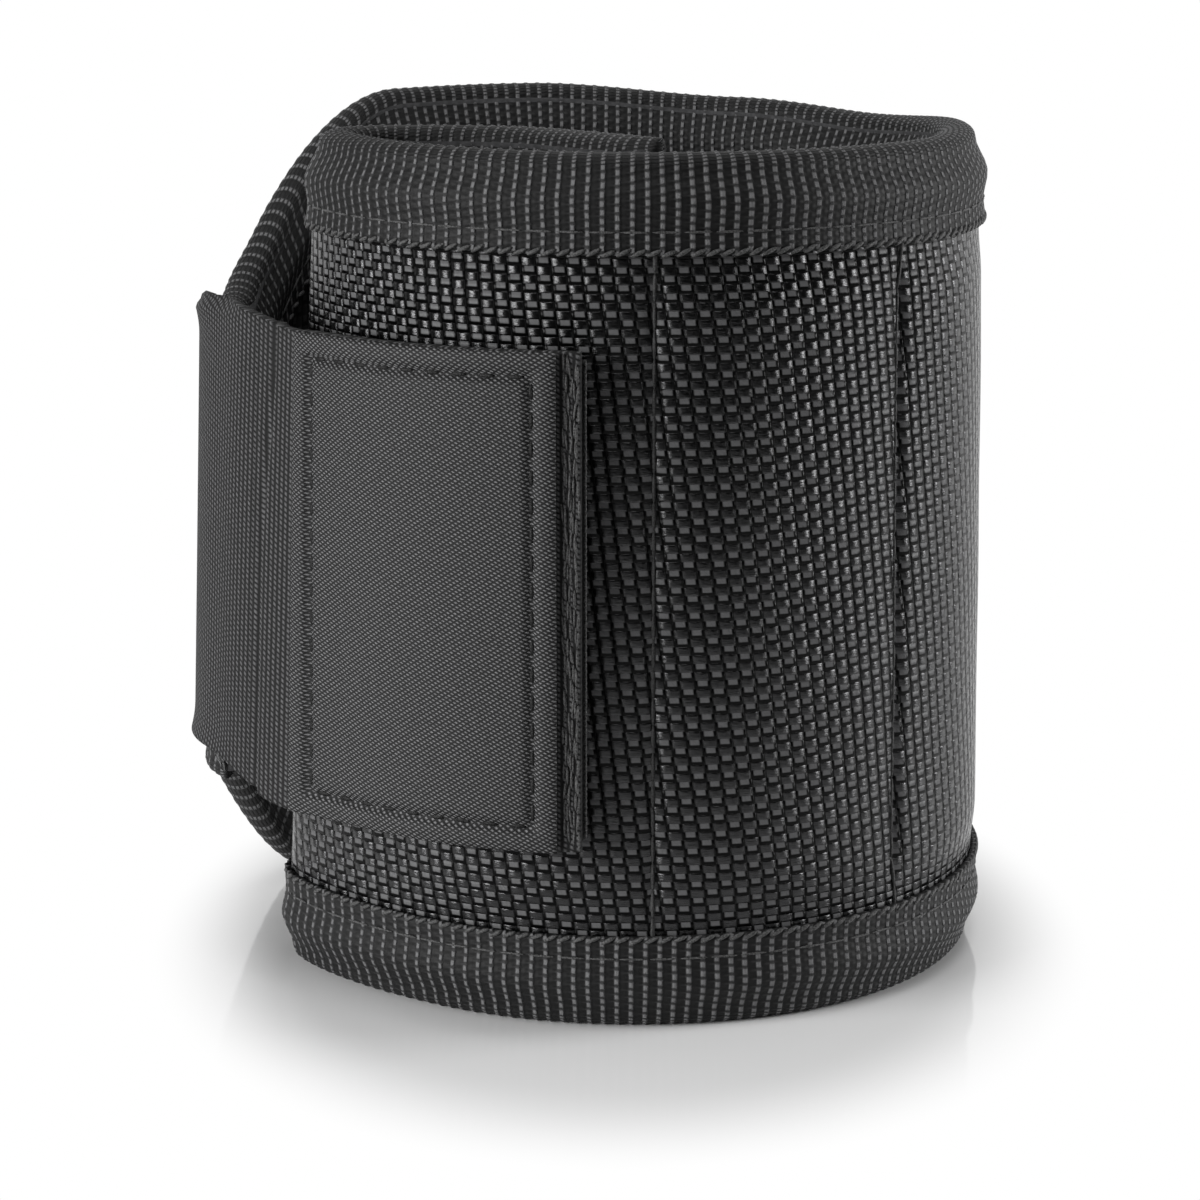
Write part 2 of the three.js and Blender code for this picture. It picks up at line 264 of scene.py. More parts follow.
foam = bpy.data.materials.new("closed_cell_foam")
foam.use_nodes = True
foam_nodes = foam.node_tree.nodes
foam_skin = foam_nodes["Principled BSDF"]
foam_skin.inputs["Roughness"].default_value = 0.95
foam_place = foam_nodes.new("ShaderNodeTexCoord")
foam_cells = foam_nodes.new("ShaderNodeTexVoronoi")
foam_cells.inputs["Scale"].default_value = 1800
foam_tone = foam_nodes.new("ShaderNodeValToRGB")
foam_tone.color_ramp.elements[0].color = (0.055, 0.055, 0.057, 1)
foam_tone.color_ramp.elements[1].color = (0.02, 0.02, 0.021, 1)
foam.node_tree.links.new(foam_place.outputs["Object"], foam_cells.inputs["Vector"])
foam.node_tree.links.new(foam_cells.outputs["Distance"], foam_tone.inputs["Fac"])
foam.node_tree.links.new(foam_tone.outputs["Color"], foam_skin.inputs["Base Color"])

POCKET_ANGLE = 43
SEAM_ANGLES = [-39.8 + POCKET_ANGLE * i for i in range(6)]
SEAMS = [LOOP_RADIUS * math.radians(angle) for angle in SEAM_ANGLES]
MAGNET_ROWS = [0.0225, 0.045, 0.0675]
WINDOW = (0.0126, 0.0206)

for stretch, (start, end) in STRETCHES.items():
    cut = flat_cloth(start, end, inset_low, inset_high, 0.002)
    windows = [
        face
        for face in cut.faces
        for a, b in zip(SEAMS, SEAMS[1:])
        for height in MAGNET_ROWS
        if abs(face.calc_center_median().x - (a + b) / 2) < WINDOW[0] / 2
        and abs(face.calc_center_median().y - height) < WINDOW[1] / 2
    ]
    bmesh.ops.delete(cut, geom=windows, context="FACES")
    rolled(cut, lambda s, z: PADDING_FACE * squeeze(s, z))
    padding = sewn_piece(f"foam_{stretch}", cut, foam, 2 * PADDING_FACE)
    follow(padding, stretch)
    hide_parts(*[f"padding_{part}" for part in CAD_PARTS[stretch]])

# Magnets: fifteen nickel-plated neodymium blocks, three to a pocket, held only by the seams round them.
# They stay hidden between shell and lining, so the CAD blocks keep their shape and get their plating.
nickel = bpy.data.materials.new("nickel_plate")
nickel.use_nodes = True
nickel_nodes = nickel.node_tree.nodes
nickel_skin = nickel_nodes["Principled BSDF"]
nickel_skin.inputs["Metallic"].default_value = 1.0
nickel_skin.inputs["Base Color"].default_value = (0.66, 0.64, 0.6, 1)
nickel_place = nickel_nodes.new("ShaderNodeTexCoord")
nickel_scuffs = nickel_nodes.new("ShaderNodeTexNoise")
nickel_scuffs.inputs["Scale"].default_value = 900
nickel_scuffs.inputs["Detail"].default_value = 6
nickel_rough = nickel_nodes.new("ShaderNodeMapRange")
nickel_rough.inputs["To Min"].default_value = 0.18
nickel_rough.inputs["To Max"].default_value = 0.42
nickel.node_tree.links.new(nickel_place.outputs["Object"], nickel_scuffs.inputs["Vector"])
nickel.node_tree.links.new(nickel_scuffs.outputs["Fac"], nickel_rough.inputs["Value"])
nickel.node_tree.links.new(nickel_rough.outputs["Result"], nickel_skin.inputs["Roughness"])
for name, node in frame["nodes"].items():
    if name.startswith("magnet_"):
        node.data.materials.clear()
        node.data.materials.append(nickel)

# Outer shell: coarse ballistic nylon in plain weave, charcoal black, with slightly glossy yarns.
# It is cut in one length and sewn down in upright seams, so that each filled pocket stands out a little
# between two pinched seams.
SHELL_OUT = 0.0023
SHELL_THICKNESS = 0.0005
POCKET_CROWN = 0.0007
RIPPLE = 0.00012
RIPPLES_PER_METRE = 60
SEAM_PINCH = [0.0, 0.0004, 0.0006, 0.0005, 0.0004, 0.0004]
PINCH_WIDTH = 0.0005
TAPE_DEPTH = 0.010
CROWN_EDGE = 0.006


def between_tapes(s, z):
    low = lower_rim(s) + TAPE_DEPTH
    high = upper_rim(s) - TAPE_DEPTH
    return smooth(low, low + CROWN_EDGE, z) * (1 - smooth(high - CROWN_EDGE, high, z))


def pocket_shape(s, z):
    lift = RIPPLE * noise.noise(Vector((s, z, 0)) * RIPPLES_PER_METRE)
    for first, second in zip(SEAMS, SEAMS[1:]):
        if first < s < second:
            lift += POCKET_CROWN * math.sin(math.pi * (s - first) / (second - first)) ** 0.7
    lift *= between_tapes(s, z)
    for seam, pinch in zip(SEAMS, SEAM_PINCH):
        lift -= pinch * math.exp(-(((s - seam) / PINCH_WIDTH) ** 2)) * between_tapes(s, z)
    return lift


def figure(tree, operation, *values):
    node = tree.nodes.new("ShaderNodeMath")
    node.operation = operation
    for socket, value in zip(node.inputs, values):
        if isinstance(value, (int, float)):
            socket.default_value = value
        else:
            tree.links.new(value, socket)
    return node.outputs["Value"]


def edge_fade(tree, value, outer, inner):
    fade = tree.nodes.new("ShaderNodeMapRange")
    fade.interpolation_type = "SMOOTHSTEP"
    fade.inputs["From Min"].default_value = outer
    fade.inputs["From Max"].default_value = inner
    tree.links.new(figure(tree, "ABSOLUTE", value), fade.inputs["Value"])
    return fade.outputs["Result"]


def blank_group(name, numbers, results):
    group = bpy.data.node_groups.new(name, "ShaderNodeTree")
    group.interface.new_socket("Flat", in_out="INPUT", socket_type="NodeSocketVector")
    for label in numbers:
        group.interface.new_socket(label, in_out="INPUT", socket_type="NodeSocketFloat")
    for label in results:
        group.interface.new_socket(label, in_out="OUTPUT", socket_type="NodeSocketFloat")
    return group, group.nodes.new("NodeGroupInput").outputs, group.nodes.new("NodeGroupOutput").inputs


# Plain weave seen from its face: in each cell either the upright yarn or the level yarn lies on top.
# Height is the relief of the yarns with their filaments. Tone is a painted sheen on the faces of the upright
# yarns, which dive under the next level yarn, with painted shade on their lower ends and in the gaps between
# the yarns.
# Shine marks the backs of the level ones, drawn tight and mirror-like.
# FAR_CELLS keeps the count of cells above zero, so that it runs on evenly over the start of the cloth.
FAR_CELLS = 4000
UPRIGHT_BEND = 0.35
LEVEL_BEND = 0.7
YARN_EDGE = 0.25
FILAMENT_RELIEF = 0.14
FILAMENT_TONE = 0.9
LEVEL_TONE = 0.4
weave, weave_in, weave_out = blank_group(
    "plain_weave", ["Cell Width", "Cell Height", "Lean"], ["Height", "Tone", "Shine"]
)
split = weave.nodes.new("ShaderNodeSeparateXYZ")
weave.links.new(weave_in["Flat"], split.inputs["Vector"])
leaning = figure(weave, "MULTIPLY_ADD", split.outputs["Y"], weave_in["Lean"], split.outputs["X"])
across = figure(weave, "ADD", figure(weave, "DIVIDE", leaning, weave_in["Cell Width"]), FAR_CELLS)
rise = figure(weave, "DIVIDE", split.outputs["Y"], weave_in["Cell Height"])
upward = figure(weave, "ADD", rise, FAR_CELLS)
column = figure(weave, "FLOOR", across)
row = figure(weave, "FLOOR", upward)
from_middle = figure(weave, "SUBTRACT", figure(weave, "SUBTRACT", across, column), 0.5)
from_centre = figure(weave, "SUBTRACT", figure(weave, "SUBTRACT", upward, row), 0.5)
level = figure(weave, "MODULO", figure(weave, "ADD", column, row), 2)
turned_side = figure(weave, "SUBTRACT", from_centre, from_middle)
turned_run = figure(weave, "SUBTRACT", from_middle, from_centre)
side = figure(weave, "MULTIPLY_ADD", turned_side, level, from_middle)
run = figure(weave, "MULTIPLY_ADD", turned_run, level, from_centre)
side_drop = figure(weave, "POWER", figure(weave, "ABSOLUTE", figure(weave, "MULTIPLY", side, 2)), 6)
run_drop = figure(weave, "POWER", figure(weave, "ABSOLUTE", figure(weave, "MULTIPLY", run, 2)), 2)
flat_top = figure(weave, "SUBTRACT", 1, figure(weave, "MULTIPLY", side_drop, YARN_EDGE))
bend = figure(weave, "MULTIPLY_ADD", level, LEVEL_BEND - UPRIGHT_BEND, UPRIGHT_BEND)
arch = figure(weave, "SUBTRACT", 1, figure(weave, "MULTIPLY", run_drop, bend))
relief = figure(weave, "MULTIPLY", arch, flat_top)
strand = weave.nodes.new("ShaderNodeCombineXYZ")
twist = figure(weave, "MULTIPLY_ADD", run, 0.25, side)
abreast = figure(weave, "MULTIPLY_ADD", twist, 11, figure(weave, "MULTIPLY", column, 31.7))
along = figure(weave, "MULTIPLY_ADD", run, 1.5, figure(weave, "MULTIPLY", row, 17.3))
weave.links.new(abreast, strand.inputs["X"])
weave.links.new(along, strand.inputs["Y"])
filaments = weave.nodes.new("ShaderNodeTexNoise")
filaments.inputs["Scale"].default_value = 1.0
filaments.inputs["Detail"].default_value = 2.0
weave.links.new(strand.outputs["Vector"], filaments.inputs["Vector"])
grain = figure(weave, "SUBTRACT", filaments.outputs["Fac"], 0.5)
weave.links.new(figure(weave, "MULTIPLY_ADD", grain, FILAMENT_RELIEF, relief), weave_out["Height"])
# Painted sheen on the upright faces, faded out towards their lower ends as painted shade; the gaps stay dark
# as painted shade.
sheen_shaded_below = edge_fade(weave, figure(weave, "SUBTRACT", run, 0.22), 0.42, 0.26)
upright_sheen = figure(weave, "MULTIPLY", sheen_shaded_below, edge_fade(weave, side, 0.37, 0.24))
back = figure(weave, "MULTIPLY", edge_fade(weave, run, 0.5, 0.34), edge_fade(weave, side, 0.56, 0.46))
on_level = figure(weave, "SUBTRACT", figure(weave, "MULTIPLY", back, LEVEL_TONE), upright_sheen)
sheen_and_shade = figure(weave, "MULTIPLY_ADD", on_level, level, upright_sheen)
streaked = figure(weave, "MULTIPLY_ADD", grain, FILAMENT_TONE, 1)
weave.links.new(figure(weave, "MULTIPLY", sheen_and_shade, streaked), weave_out["Tone"])
weave.links.new(figure(weave, "MULTIPLY", level, back), weave_out["Shine"])


def cloth_material(name, group, values, roughness, relief, dark, light, gloss=0.2, turn=0.0):
    """A cloth whose group gives its Height, and a Tone from dark in the gaps to light on the yarns."""
    material = bpy.data.materials.new(name)
    material.use_nodes = True
    tree = material.node_tree
    skin = tree.nodes["Principled BSDF"]
    skin.inputs["Roughness"].default_value = roughness
    skin.inputs["Specular IOR Level"].default_value = gloss
    flat = tree.nodes.new("ShaderNodeUVMap")
    flat.uv_map = "flat"
    pattern = tree.nodes.new("ShaderNodeGroup")
    pattern.name = "pattern"
    pattern.node_tree = group
    lay = tree.nodes.new("ShaderNodeMapping")
    lay.inputs["Rotation"].default_value = (0, 0, turn)
    tree.links.new(flat.outputs["UV"], lay.inputs["Vector"])
    tree.links.new(lay.outputs["Vector"], pattern.inputs["Flat"])
    for label, value in values.items():
        pattern.inputs[label].default_value = value
    shade = tree.nodes.new("ShaderNodeMix")
    shade.data_type = "RGBA"
    shade.inputs["A"].default_value = (dark, dark, dark * 1.02, 1)
    shade.inputs["B"].default_value = (light, light, light * 1.02, 1)
    tree.links.new(pattern.outputs["Tone"], shade.inputs["Factor"])
    tree.links.new(shade.outputs["Result"], skin.inputs["Base Color"])
    bump = tree.nodes.new("ShaderNodeBump")
    bump.inputs["Distance"].default_value = relief
    tree.links.new(pattern.outputs["Height"], bump.inputs["Height"])
    tree.links.new(bump.outputs["Normal"], skin.inputs["Normal"])
    return material


ballistic_nylon = cloth_material(
    "ballistic_nylon",
    weave,
    {"Cell Width": 0.00142, "Cell Height": 0.000875, "Lean": 0.113},
    roughness=0.25,
    relief=0.0003,
    dark=0.0015,
    # The light tone is the painted sheen of the upright yarns, and the dark one is the painted shade in the
    # gaps.
    light=0.115,
    gloss=0.07,
)
nylon = ballistic_nylon.node_tree
nylon_skin = nylon.nodes["Principled BSDF"]
nylon.links.new(nylon.nodes["pattern"].outputs["Shine"], nylon_skin.inputs["Metallic"])

for stretch, (start, end) in STRETCHES.items():
    gathers = [s for s in SEAMS if start + 2 * GATHER_WIDTH < s < end - 2 * GATHER_WIDTH]
    cut = flat_cloth(start, end, inset_low, inset_high, 0.0009, gathers)
    rolled(cut, lambda s, z: SHELL_OUT * squeeze(s, z) + pocket_shape(s, z))
    shell = sewn_piece(f"shell_{stretch}", cut, ballistic_nylon, SHELL_THICKNESS)
    shell.modifiers["thickness"].use_rim = False
    follow(shell, stretch)
    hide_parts(*[f"outer_shell_{part}" for part in CAD_PARTS[stretch]])

# Pocket seams: strong polyester thread, grey-black, in lockstitches through shell, padding and lining.
# Each seam runs from tape to tape, and the first is left out, under the tab.
STITCH = 0.0029
THREAD = 0.00023


def thread_oval(seam, a, b, thread):
    turn = (b - a).to_track_quat("Z", "Y")
    oval = Matrix.LocRotScale((a + b) / 2, turn, (thread, thread, (b - a).length / 2))
    bmesh.ops.create_icosphere(seam, subdivisions=2, radius=1.0, matrix=oval)


def stitch_row(seam, place, start, end, thread=THREAD, cover=0.9):
    """Ovals of thread along place, each one dipping into the cloth at its ends."""
    count = round((end - start) / STITCH)
    for i in range(count):
        a = place(lerp(start, end, (i + 0.5 - cover / 2) / count))
        b = place(lerp(start, end, (i + 0.5 + cover / 2) / count))
        thread_oval(seam, a, b, thread)


def thread_material(name, colour):
    material = bpy.data.materials.new(name)
    material.use_nodes = True
    tree = material.node_tree
    skin = tree.nodes["Principled BSDF"]
    skin.inputs["Roughness"].default_value = 0.55
    skin.inputs["Specular IOR Level"].default_value = 0.3
    place = tree.nodes.new("ShaderNodeTexCoord")
    plies = tree.nodes.new("ShaderNodeTexNoise")
    plies.inputs["Scale"].default_value = 6000
    tree.links.new(place.outputs["Object"], plies.inputs["Vector"])
    tone = tree.nodes.new("ShaderNodeValToRGB")
    tone.color_ramp.elements[0].position = 0.35
    tone.color_ramp.elements[0].color = (colour * 0.3, colour * 0.3, colour * 0.3, 1)
    tone.color_ramp.elements[1].position = 0.7
    tone.color_ramp.elements[1].color = (colour * 1.6, colour * 1.6, colour * 1.6, 1)
    tree.links.new(plies.outputs["Fac"], tone.inputs["Fac"])
    tree.links.new(tone.outputs["Color"], skin.inputs["Base Color"])
    bump = tree.nodes.new("ShaderNodeBump")
    bump.inputs["Distance"].default_value = 0.0001
    tree.links.new(plies.outputs["Fac"], bump.inputs["Height"])
    tree.links.new(bump.outputs["Normal"], skin.inputs["Normal"])
    return material


seam_thread = thread_material("seam_thread", 0.035)
grey_thread = thread_material("grey_thread", 0.07)
black_thread = thread_material("black_thread", 0.003)
seam = bmesh.new()
for s in SEAMS[1:]:
    low, high = lower_rim(s) + TAPE_DEPTH - 0.001, upper_rim(s) - TAPE_DEPTH + 0.001
    lift = SHELL_OUT + 0.00006
    stitch_row(seam, lambda z: band_point(s, lift + pocket_shape(s, z), z), low, high, cover=1.1)
pocket_seams = sewn_piece("pocket_seams", seam, seam_thread)
follow(pocket_seams, "round")

# Lining: soft spacer mesh of polyester on the wrist side.
# It is as long as the shell, and sewn through with it in the same seams.
LINING_FACE = -0.0023
mesh_lining = cloth_material(
    "spacer_mesh",
    weave,
    {"Cell Width": 0.0012, "Cell Height": 0.0012},
    roughness=0.85,
    relief=0.0003,
    dark=0.004,
    light=0.03,
)
for stretch, (start, end) in STRETCHES.items():
    cut = flat_cloth(start, end, inset_low, inset_high, 0.0012)
    rolled(cut, lambda s, z: LINING_FACE * squeeze(s, z) - 0.6 * pocket_shape(s, z))
    bmesh.ops.reverse_faces(cut, faces=cut.faces[:])
    lining = sewn_piece(f"lining_cloth_{stretch}", cut, mesh_lining, SHELL_THICKNESS)
    follow(lining, stretch)
    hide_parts(*[f"lining_{part}" for part in CAD_PARTS[stretch]])

# Binding: woven tape folded over each long edge and over the free end, and sewn through near its edges.
# It is soft, so it stands out between the seam and the fold. Cords stand up on its dark yarns, their beads
# pale partly from their own yarn and partly as painted highlight.
TAPE_THICKNESS = 0.00055
TAPE_WIDTH = 0.0285
RIM_HALF = 0.0019
RIM_HEIGHT = 0.0012
TAPE_SEAM_DEPTH = 0.0077
TAPE_FULL = 0.00335
TAPE_LIFT = [
    (RIM_HEIGHT, RIM_HALF),
    (0.0050, TAPE_FULL),
    (TAPE_SEAM_DEPTH, 0.00292),
    (TAPE_DEPTH, 0.00312),
]
TAPE_THREAD = 0.00013
LOOP_THREAD = 0.00023
CORD_PITCH = 0.00135
CORD_HEIGHT = 0.00014
CORD_STEPS = 6
FLAP_SHARE = 0.33


def tape_half(depth):
    if depth < RIM_HEIGHT:
        return RIM_HALF * math.sqrt(max(0.0, 1 - (1 - depth / RIM_HEIGHT) ** 2))
    return eased(TAPE_LIFT, depth)


def tape_section(share):
    """Offset, depth and the way out, at a share of the tape's width from its outer to its inner edge."""
    if share <= FLAP_SHARE or share >= 1 - FLAP_SHARE:
        side = 1 if share < 0.5 else -1
        depth = lerp(TAPE_DEPTH, RIM_HEIGHT, min(share, 1 - share) / FLAP_SHARE)
        return side * tape_half(depth), depth, side, 0.0
    turn = math.pi * (share - FLAP_SHARE) / (1 - 2 * FLAP_SHARE)
    out, up = math.cos(turn), math.sin(turn)
    return RIM_HALF * out, RIM_HEIGHT * (1 - up), out, -up


def binding_tape(start, end, place, turned, rows=30):
    columns = round((end - start) / (CORD_PITCH / CORD_STEPS))
    cut = bmesh.new()
    flat = cut.loops.layers.uv.new("flat")
    bmesh.ops.create_grid(cut, x_segments=columns, y_segments=rows, size=0.5)
    for face in cut.faces:
        for corner in face.loops:
            x, y, z = corner.vert.co
            corner[flat].uv = (lerp(start, end, x + 0.5), (y + 0.5) * TAPE_WIDTH)
    for vert in cut.verts:
        along = lerp(start, end, vert.co.x + 0.5)
        offset, depth, out, down = tape_section(0.5 - vert.co.y)
        from_cord = abs(along / CORD_PITCH - round(along / CORD_PITCH))
        cord = CORD_HEIGHT * max(0.0, 1 - from_cord * CORD_STEPS)
        vert.co = place(along, offset + cord * out, depth + cord * down)
    if turned:
        bmesh.ops.reverse_faces(cut, faces=cut.faces[:])
    return cut


def wobbled(tree, flat, scale, amount):
    """Flat coordinates pushed about a little, as the yarns of real cloth lie."""
    push = tree.nodes.new("ShaderNodeTexNoise")
    push.inputs["Scale"].default_value = scale
    tree.links.new(flat, push.inputs["Vector"])
    moved = tree.nodes.new("ShaderNodeVectorMath")
    moved.operation = "MULTIPLY_ADD"
    moved.inputs[1].default_value = (amount, amount, 0)
    tree.links.new(push.outputs["Color"], moved.inputs[0])
    tree.links.new(flat, moved.inputs[2])
    split = tree.nodes.new("ShaderNodeSeparateXYZ")
    tree.links.new(moved.outputs["Vector"], split.inputs["Vector"])
    return split.outputs


# Tape weave: thin cords run across the tape with short bars between them. Dark yarns fill the windows,
# and each cord's beads are out of step with the next one's. The beads' pale tone is partly their yarn's
# and partly a painted highlight on each bead's crest.
OUT_OF_STEP = 0.377
net, net_in, net_out = blank_group("cord_net", ["Cord Pitch", "Bar Pitch"], ["Height", "Tone"])
place = wobbled(net, net_in["Flat"], 700, 0.0001)
cords = figure(net, "ADD", figure(net, "DIVIDE", place["X"], net_in["Cord Pitch"]), FAR_CELLS)
rows = figure(net, "DIVIDE", place["Y"], net_in["Bar Pitch"])
window = figure(net, "FLOOR", cords)
bars = figure(net, "ADD", rows, figure(net, "MULTIPLY", window, OUT_OF_STEP))
in_window = figure(net, "SUBTRACT", figure(net, "FRACT", cords), 0.5)
from_cord = figure(net, "SUBTRACT", 0.5, figure(net, "ABSOLUTE", in_window))
from_bar = figure(net, "SUBTRACT", figure(net, "FRACT", bars), 0.5)
strand_number = figure(net, "FLOOR", figure(net, "ADD", cords, 0.5))
cord_beads = figure(net, "MULTIPLY_ADD", strand_number, OUT_OF_STEP, rows)
from_bead = figure(net, "SUBTRACT", figure(net, "FRACT", cord_beads), 0.5)
# Pale beads: partly the yarn's own colour, partly a painted highlight on the cord's crest.
bead = figure(net, "MULTIPLY_ADD", edge_fade(net, from_bead, 0.43, 0.22), 0.85, 0.15)
cord = figure(net, "MULTIPLY", edge_fade(net, from_cord, 0.23, 0.08), bead)
stub = net.nodes.new("ShaderNodeMapRange")
stub.inputs["From Min"].default_value = -0.1
stub.inputs["From Max"].default_value = 0.4
stub.inputs["To Min"].default_value = 0.02
stub.inputs["To Max"].default_value = 0.16
net.links.new(in_window, stub.inputs["Value"])
bar = figure(net, "MULTIPLY", edge_fade(net, from_bar, 0.16, 0.05), stub.outputs["Result"])
lines = figure(net, "MAXIMUM", cord, bar)
yarn = figure(net, "MULTIPLY", edge_fade(net, in_window, 0.4, 0.0), edge_fade(net, from_bar, 0.5, 0.1))
fuzz = net.nodes.new("ShaderNodeTexNoise")
fuzz.inputs["Scale"].default_value = 7000
net.links.new(net_in["Flat"], fuzz.inputs["Vector"])
worn = figure(net, "MULTIPLY_ADD", figure(net, "SUBTRACT", fuzz.outputs["Fac"], 0.5), 0.5, lines)
net.links.new(figure(net, "MAXIMUM", worn, figure(net, "MULTIPLY", yarn, 0.3)), net_out["Height"])
fuzzy = figure(net, "ADD", fuzz.outputs["Fac"], 0.5)
net.links.new(figure(net, "MULTIPLY", lines, fuzzy), net_out["Tone"])

corded_tape = cloth_material(
    "corded_tape",
    net,
    {"Cord Pitch": CORD_PITCH, "Bar Pitch": 0.00095},
    roughness=0.6,
    relief=0.0002,
    dark=0.007,
    light=0.15,
    gloss=0.2,
)

ANCHOR_LENGTH = 0.014
UNDER_STRAP = 0.7
TAPE_END = TIP_END - 0.0004
TAPE_STRETCHES = {
    "tail": (FREE_EDGE, CURL_END),
    "curl": (CURL_END, FOLD_SIDE),
    "round": (FOLD_SIDE, TAPE_END),
}


def closing(s):
    """The tape closes over the free edge, and lies flatter under the strap's sewn end."""
    flatter = smooth(TIP_END - ANCHOR_LENGTH - 0.003, TIP_END - ANCHOR_LENGTH, s)
    ends = min(tape_half(s - FREE_EDGE), tape_half(TAPE_END - s)) / TAPE_FULL
    return min(lerp(1.0, UNDER_STRAP, flatter), ends)


def folded_over(rim, way):
    return lambda s, offset, depth: band_point(s, offset * closing(s), rim(s) + way * depth)


EDGES = [("upper", "top", upper_rim, -1), ("lower", "bottom", lower_rim, 1)]
for stretch, (start, end) in TAPE_STRETCHES.items():
    for edge, node, rim, way in EDGES:
        over_edge = folded_over(rim, way)
        cut = binding_tape(start, end, over_edge, way < 0)
        tape = sewn_piece(f"{edge}_tape_{stretch}", cut, corded_tape, TAPE_THICKNESS)
        follow(tape, stretch)
        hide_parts(*[f"{node}_binding_{part}" for part in CAD_PARTS[stretch]])
        seam = bmesh.new()
        for face in (1, -1):
            lift = face * (tape_half(TAPE_SEAM_DEPTH) + 0.00012)
            stitch_row(seam, lambda s: over_edge(s, lift, TAPE_SEAM_DEPTH), start, end, TAPE_THREAD)
            lift = face * (tape_half(TAPE_DEPTH) + 0.00005)
            for i in range(round((end - start) / CORD_PITCH)):
                s = start + i * CORD_PITCH
                stray = 0.0003 * noise.noise(Vector((900 * s, 0, 0)))
                next_cord = min(end, max(start, s + way * CORD_PITCH))
                loop_start = over_edge(s, lift, TAPE_DEPTH - 0.0006 + stray)
                loop_end = over_edge(next_cord, lift, TAPE_DEPTH + 0.0001)
                thread_oval(seam, loop_start, loop_end, LOOP_THREAD)
        tape_seam = sewn_piece(f"{edge}_tape_seam_{stretch}", seam, grey_thread)
        follow(tape_seam, stretch)

END_TAPE = (TAPE_DEPTH + 0.0002, BAND_HEIGHT - TAPE_DEPTH - 0.0002)
cut = binding_tape(*END_TAPE, lambda z, t, depth: band_point(FREE_EDGE + depth, t, z), True)
end_tape = sewn_piece("end_tape", cut, corded_tape, TAPE_THICKNESS)
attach(end_tape, "tail")
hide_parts("end_binding")

# Loop patch: a knitted nylon tape with soft pile, sewn on the shell under the tab for the hooks to grip.
# Only its edges show.
PATCH_START = LOOP_RADIUS * math.radians(-42)
PATCH_END = LOOP_RADIUS * math.radians(-7) - 0.0004
PATCH_OUT = 0.0041
STRAP_LOW = (BAND_HEIGHT - STRAP_WIDTH) / 2
STRAP_HIGH = (BAND_HEIGHT + STRAP_WIDTH) / 2

loop_pile = cloth_material(
    "loop_pile",
    weave,
    {"Cell Width": 0.0004, "Cell Height": 0.0004},
    roughness=0.9,
    relief=0.0002,
    dark=0.006,
    light=0.05,
)
cut = flat_cloth(PATCH_START, PATCH_END, lambda s: STRAP_LOW, lambda s: STRAP_HIGH, 0.001)
patch = sewn_piece("loop_pile_patch", rolled(cut, lambda s, z: PATCH_OUT), loop_pile, 0.001)
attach(patch, "front")
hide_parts("loop_patch")

# Strap: elastic webbing, finely ribbed, woven of polyester over rubber. One end is sewn on the band's tip,
# the free stretch bends over to the front, and the other end lies round the front as the tab.
WEBBING = 0.0012
ANCHOR_MIDDLE = 0.0031
TAB_MIDDLE = 0.0061
TAB_RADIUS = LOOP_RADIUS + TAB_MIDDLE
TAB_LIFT = math.radians(-42)
TAB_TURN = math.radians(35)
TAB_FREE = 0.008
STRAP_STEP = 0.0004
STRAP_LEAN_LOW = -0.0014
STRAP_LEAN_HIGH = 0.0008
STRAP_RISE_LOW = 0.004
STRAP_RISE_HIGH = 0.002
RIDGE_WIDTH = 0.0052
RIDGE_HEIGHT = 0.00045
CREASE_DEPTH = 0.0004

strap_line = []
anchor_steps = round(ANCHOR_LENGTH / STRAP_STEP)
for i in range(anchor_steps + 1):
    x, y, heading = along_band(TIP_END - ANCHOR_LENGTH * (1 - i / anchor_steps))
    out_x, out_y = math.sin(heading), -math.cos(heading)
    strap_line.append(Vector((x + ANCHOR_MIDDLE * out_x, y + ANCHOR_MIDDLE * out_y)))
leaving = strap_line[-1]
leaving_way = Vector((math.cos(heading), math.sin(heading)))
ring = Vector((LOOP_CENTRE.x, LOOP_CENTRE.y))
lifted = ring + TAB_RADIUS * Vector((math.sin(TAB_LIFT), -math.cos(TAB_LIFT)))
tab_way = Vector((math.cos(TAB_LIFT), math.sin(TAB_LIFT)))
arriving = lifted - TAB_FREE * tab_way
third = (arriving - leaving).length / 3
bridge = interpolate_bezier(
    leaving.to_3d(),
    (leaving + third * leaving_way).to_3d(),
    (arriving - third * tab_way).to_3d(),
    arriving.to_3d(),
    36,
)
strap_line += [point.xy for point in bridge[1:]]
free_steps = round(TAB_FREE / STRAP_STEP)
strap_line += [arriving.lerp(lifted, i / free_steps) for i in range(1, free_steps + 1)]
tab_steps = round(TAB_RADIUS * TAB_TURN / STRAP_STEP)
for i in range(1, tab_steps + 1):
    angle = TAB_LIFT + TAB_TURN * i / tab_steps
    strap_line.append(ring + TAB_RADIUS * Vector((math.sin(angle), -math.cos(angle))))

strap_way = [0.0]
for a, b in zip(strap_line, strap_line[1:]):
    strap_way.append(strap_way[-1] + (b - a).length)
TIP_WAY = strap_way[anchor_steps]
TAB_WAY = strap_way[anchor_steps + len(bridge) - 1]
TAB_END_WAY = strap_way[-1]


